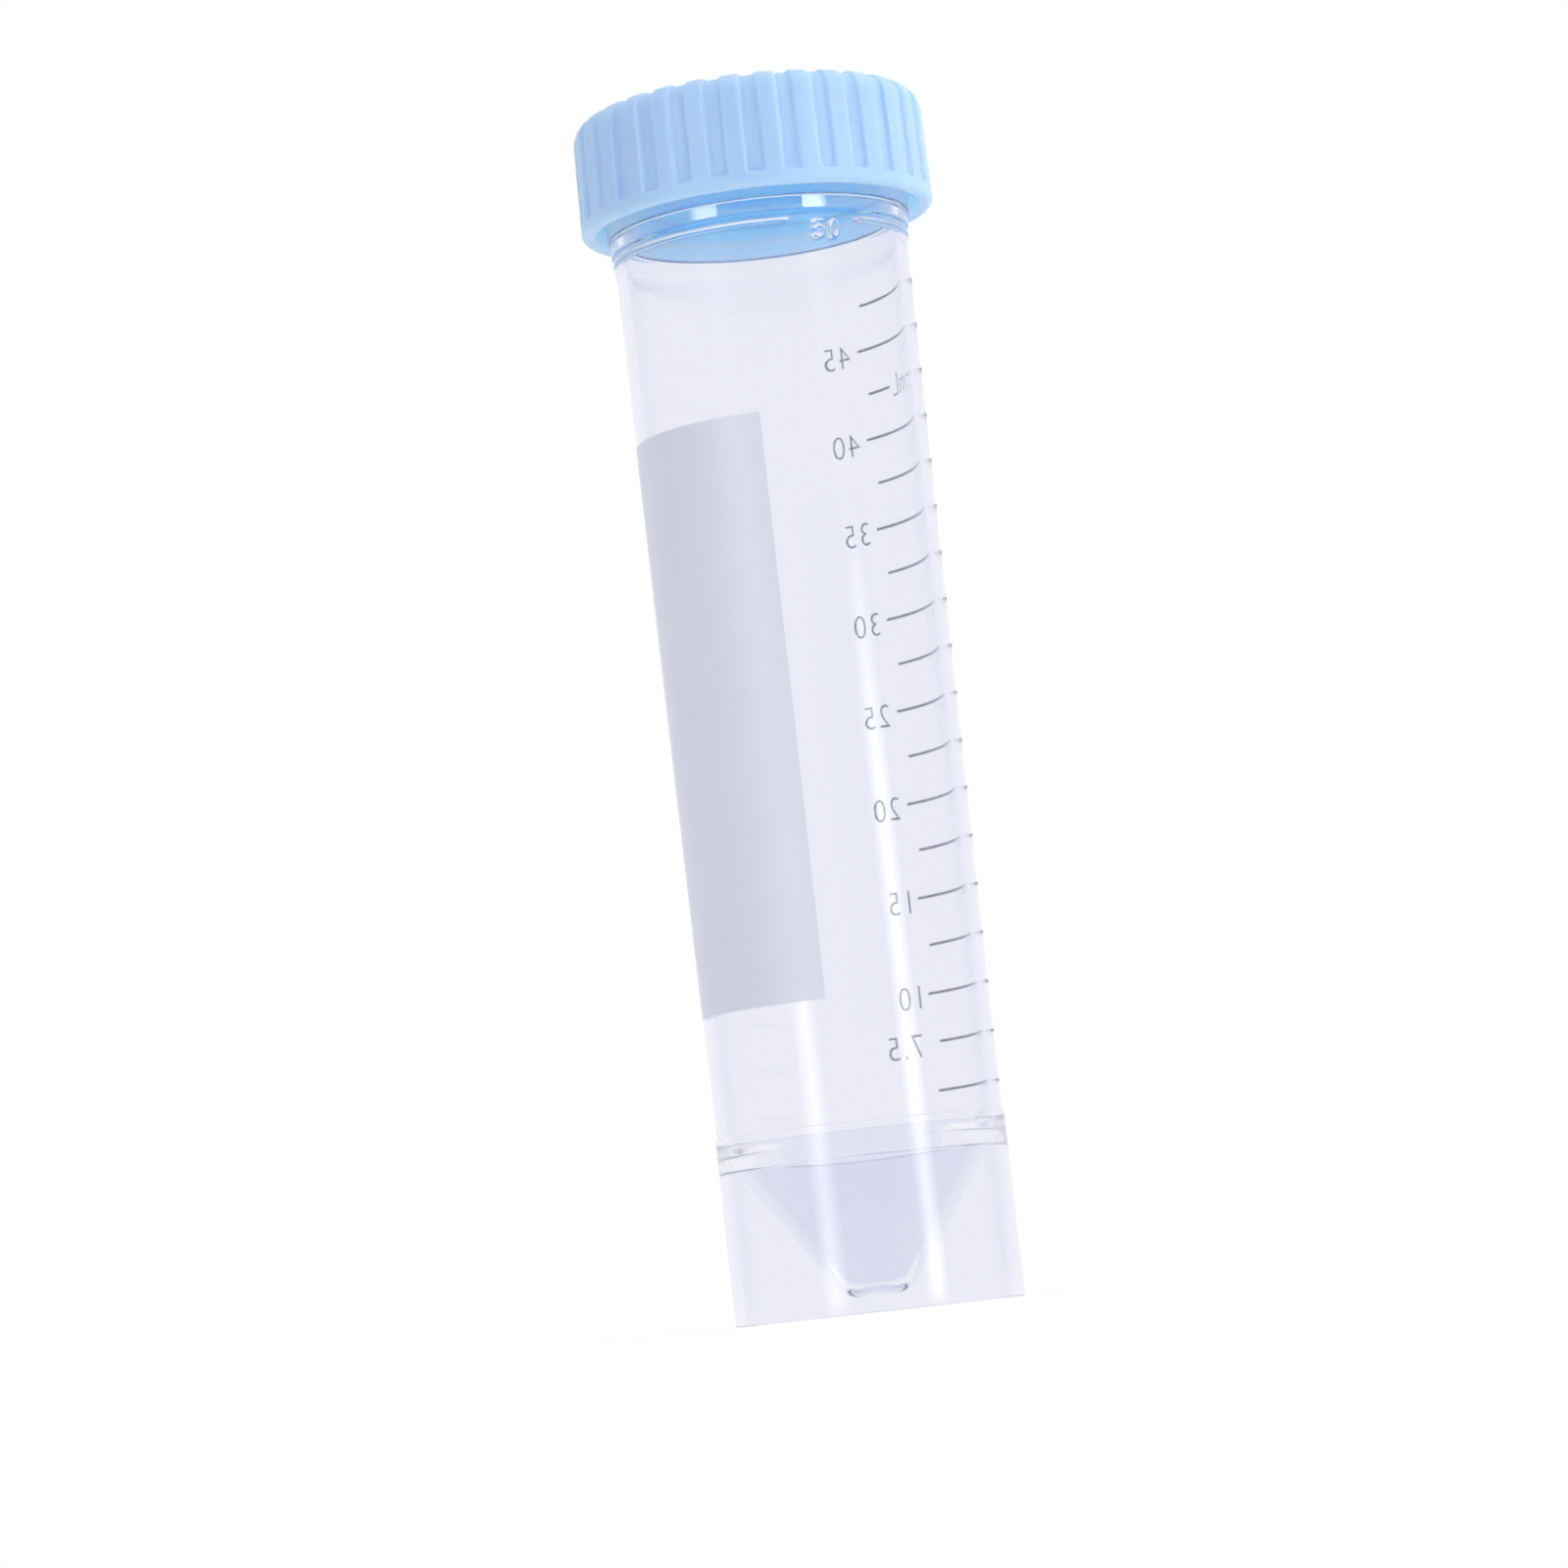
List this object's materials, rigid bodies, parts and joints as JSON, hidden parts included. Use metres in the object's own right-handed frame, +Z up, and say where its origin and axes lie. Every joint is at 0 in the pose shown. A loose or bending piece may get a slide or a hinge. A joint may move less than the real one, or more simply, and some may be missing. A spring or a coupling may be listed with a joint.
{
  "type": "50 ml conical tube",
  "caption": "Self-standing conical tube of clear plastic, with an open skirt round its cone, a printed scale, a writing panel and a ribbed screw cap that lifts off.",
  "frame": {"origin": "on the tube's axis, at the foot of its skirt", "axes": "+Z up along the tube's axis, towards the cap; -Y is the front, where the moulded number and one edge of the writing panel are"},
  "size_m": [0.0348, 0.0348, 0.1188],
  "materials": {
    "clear_polypropylene": "clear, slightly hazy moulded polypropylene with a gloss surface",
    "white_ink": "matt white screen-printed ink",
    "grey_ink": "matt grey screen-printed ink",
    "blue_cap_plastic": "satin, slightly translucent light blue polyethylene"
  },
  "bodies": {
    "tube": {"tube": "clear_polypropylene", "writing_panel": "white_ink", "graduation_marks": "grey_ink"},
    "cap": {"cap": "blue_cap_plastic"}
  },
  "joints": [
    {"name": "cap_lift", "type": "slide", "parent": "tube", "child": "cap", "axis": [0, 0, 1], "range_m": [0, 0.03]}
  ]
}
